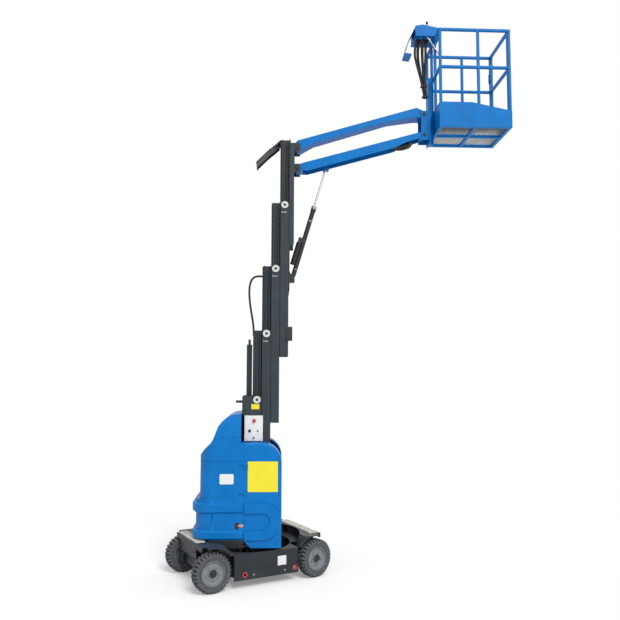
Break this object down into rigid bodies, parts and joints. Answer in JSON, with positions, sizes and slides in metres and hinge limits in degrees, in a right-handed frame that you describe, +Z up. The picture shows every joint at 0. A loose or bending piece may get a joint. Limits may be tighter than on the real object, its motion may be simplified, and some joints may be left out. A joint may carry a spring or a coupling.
{
  "type": "vertical mast lift",
  "caption": "Battery-electric vertical mast lift: wheeled chassis with steered front wheels, slewing turret under a moulded hood, telescopic mast, levelled jib and railed work platform.",
  "frame": {"origin": "on the floor, under the slewing axis of the turret", "axes": "+X the way the jib reaches, +Z up, +Y to the left of the jib; the chassis below is turned 26.5 degrees about Z, as parked"},
  "size_m": [3.932, 1.608, 6.4364],
  "materials": {
    "frame": "satin black paint",
    "pad": "moulded step pad",
    "steel": "machined",
    "weight": "painted casting",
    "tyre": "matte",
    "rim": "satin",
    "battery": "matte case",
    "hood": "moulded, semi-gloss",
    "mast": "satin paint",
    "roller": "matte",
    "panel": "semi-gloss",
    "knob": "semi-gloss",
    "flap": "satin black paint",
    "jib": "blue paint, semi-gloss",
    "hose": "matte",
    "cylinder": "satin black paint",
    "rod": "polished",
    "platform": "painted, semi-gloss",
    "console": "moulded, semi-gloss"
  },
  "bodies": {
    "chassis": {"chassis_frame": "frame", "frame_rails": "frame", "side_skirts": "frame", "end_cover_rear": "frame", "end_cover_front": "frame", "step_pad_rear": "pad", "step_pad_front": "pad", "slewing_ring_fixed": "steel", "chassis_ballast": "weight", "rear_axle": "frame", "front_axle": "frame"},
    "knuckle_l": {"knuckle_left": "frame"},
    "knuckle_r": {"knuckle_right": "frame"},
    "wheel_rear_left": {"tyre_rear_left": "tyre", "rim_rear_left": "rim"},
    "wheel_rear_right": {"tyre_rear_right": "tyre", "rim_rear_right": "rim"},
    "wheel_front_left": {"tyre_front_left": "tyre", "rim_front_left": "rim"},
    "wheel_front_right": {"tyre_front_right": "tyre", "rim_front_right": "rim"},
    "turret": {"slewing_ring_turning": "steel", "turret_base": "frame", "counterweight": "weight", "battery_pack_left": "battery", "battery_pack_right": "battery", "hood_lower": "hood", "hood_upper": "hood", "door_sill": "hood", "mast_section_1": "mast", "mast_rollers_1": "roller", "mast_head": "mast", "ground_control_box": "panel", "ground_control_knobs": "knob", "hose_guard": "mast"},
    "mast_2": {"mast_section_2": "mast", "mast_rollers_2": "roller"},
    "mast_3": {"mast_section_3": "mast", "mast_rollers_3": "roller", "mast_hose": "hose"},
    "mast_4": {"mast_section_4": "mast", "mast_rollers_4": "roller"},
    "mast_5": {"mast_section_5": "mast", "top_flap": "flap", "jib_bracket": "mast", "cylinder_foot": "mast"},
    "jib_lower": {"jib_lower_arm": "jib"},
    "jib_upper": {"jib_upper_arm": "jib"},
    "jib_barrel": {"jib_cylinder_barrel": "cylinder"},
    "jib_rod": {"jib_cylinder_rod": "rod"},
    "platform": {"platform_post": "jib", "platform_floor": "platform", "guard_rails_left": "platform", "guard_rails_right": "platform", "guard_rails_back": "platform", "platform_console": "console", "console_sticks": "knob"},
    "gate": {"platform_gate": "platform"},
    "door_left": {"side_door_left": "hood"},
    "door_right": {"side_door_right": "hood"}
  },
  "joints": [
    {"name": "wheel_rear_left", "type": "hinge", "parent": "chassis", "child": "wheel_rear_left", "pos_m": [-0.73553, 0.11935, 0.203], "axis": [-0.4462, 0.8949, 0], "continuous": true},
    {"name": "wheel_rear_right", "type": "hinge", "parent": "chassis", "child": "wheel_rear_right", "pos_m": [-0.34734, -0.65925, 0.203], "axis": [-0.4462, 0.8949, 0], "continuous": true},
    {"name": "steering_left", "type": "hinge", "parent": "chassis", "child": "knuckle_l", "pos_m": [0.36514, 0.57873, 0.203], "axis": [0, 0, 1], "range_deg": [-48, 28]},
    {"name": "steering_right", "type": "hinge", "parent": "chassis", "child": "knuckle_r", "pos_m": [0.68194, -0.05668, 0.203], "axis": [0, 0, 1], "range_deg": [-48, 28]},
    {"name": "wheel_front_left", "type": "hinge", "parent": "knuckle_l", "child": "wheel_front_left", "pos_m": [0.31755, 0.64304, 0.203], "axis": [-0.5948, 0.8039, 0], "continuous": true},
    {"name": "wheel_front_right", "type": "hinge", "parent": "knuckle_r", "child": "wheel_front_right", "pos_m": [0.72952, -0.12098, 0.203], "axis": [-0.5948, 0.8039, 0], "continuous": true},
    {"name": "turret_slew", "type": "hinge", "parent": "chassis", "child": "turret", "pos_m": [0, 0, 0.15], "axis": [0, 0, 1], "range_deg": [-146, 199]},
    {"name": "mast_lift", "type": "slide", "parent": "turret", "child": "mast_2", "axis": [0, 0, 1], "range_m": [-0.62, 0.46]},
    {"name": "mast_slide_3", "type": "slide", "parent": "mast_2", "child": "mast_3", "axis": [0, 0, 1], "range_m": [-0.62, 0.46]},
    {"name": "mast_slide_4", "type": "slide", "parent": "mast_3", "child": "mast_4", "axis": [0, 0, 1], "range_m": [-0.62, 0.46]},
    {"name": "mast_slide_5", "type": "slide", "parent": "mast_4", "child": "mast_5", "axis": [0, 0, 1], "range_m": [-0.62, 0.46]},
    {"name": "jib_lift", "type": "hinge", "parent": "mast_5", "child": "jib_lower", "pos_m": [0.525, 0, 4.613], "axis": [0, -1, 0], "range_deg": [-65, 48]},
    {"name": "jib_upper", "type": "hinge", "parent": "mast_5", "child": "jib_upper", "pos_m": [0.525, 0, 4.863], "axis": [0, -1, 0], "range_deg": [-65, 48]},
    {"name": "platform_level", "type": "hinge", "parent": "jib_lower", "child": "platform", "pos_m": [2.02532, 0, 5.04038], "axis": [0, -1, 0], "range_deg": [-48, 65]},
    {"name": "jib_barrel_pivot", "type": "hinge", "parent": "mast_5", "child": "jib_barrel", "pos_m": [0.478, 0, 3.328], "axis": [0, -1, 0], "range_deg": [-1.3, 1]},
    {"name": "jib_rod_slide", "type": "slide", "parent": "jib_barrel", "child": "jib_rod", "axis": [0.2846, 0, 0.9586], "range_m": [-0.329, 0.243]},
    {"name": "gate_hinge", "type": "hinge", "parent": "platform", "child": "gate", "pos_m": [2.9503, 0.329, 5.1104], "axis": [0, 0, -1], "range_deg": [0, 85]},
    {"name": "door_left_hinge", "type": "hinge", "parent": "turret", "child": "door_left", "pos_m": [-0.035, 0.413, 0.949], "axis": [0, 0, 1], "range_deg": [0, 90]},
    {"name": "door_right_hinge", "type": "hinge", "parent": "turret", "child": "door_right", "pos_m": [-0.035, -0.413, 0.949], "axis": [0, 0, -1], "range_deg": [0, 90]}
  ],
  "couplings": [
    {"joint": "steering_right", "follows": "steering_left", "ratio": 1},
    {"joint": "mast_slide_3", "follows": "mast_lift", "ratio": 1},
    {"joint": "mast_slide_4", "follows": "mast_lift", "ratio": 1},
    {"joint": "mast_slide_5", "follows": "mast_lift", "ratio": 1},
    {"joint": "jib_upper", "follows": "jib_lift", "ratio": 1},
    {"joint": "platform_level", "follows": "jib_lift", "ratio": -1},
    {"joint": "jib_barrel_pivot", "follows": "jib_lift", "ratio": 0.02},
    {"joint": "jib_rod_slide", "follows": "jib_lift", "m_per_rad": 0.29}
  ]
}
